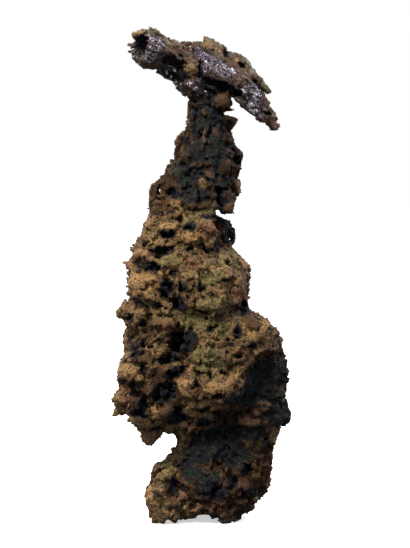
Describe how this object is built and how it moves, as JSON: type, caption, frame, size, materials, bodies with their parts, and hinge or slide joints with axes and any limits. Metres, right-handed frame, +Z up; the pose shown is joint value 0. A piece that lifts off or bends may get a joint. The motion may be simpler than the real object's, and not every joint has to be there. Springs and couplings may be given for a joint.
{
  "type": "mineral specimen",
  "caption": "Tall porous brown ironstone matrix standing on its broken foot, with a dark lustrous hollow-ended crystal mass grown across its top.",
  "frame": {"origin": "middle of the specimen's bounding box in plan, at the level of the surface that its foot stands on", "axes": "+Z up along the specimen's length, -Y out of its front face, +X to the viewer's right"},
  "size_m": [0.0442, 0.0354, 0.1194],
  "materials": {
    "ironstone": "rough, porous, brown with olive and black stains",
    "dark_crystal": "striated, near-metallic blue-black lustre with brown rust"
  },
  "bodies": {
    "root": {"matrix": "ironstone", "crystal": "dark_crystal"}
  },
  "joints": []
}
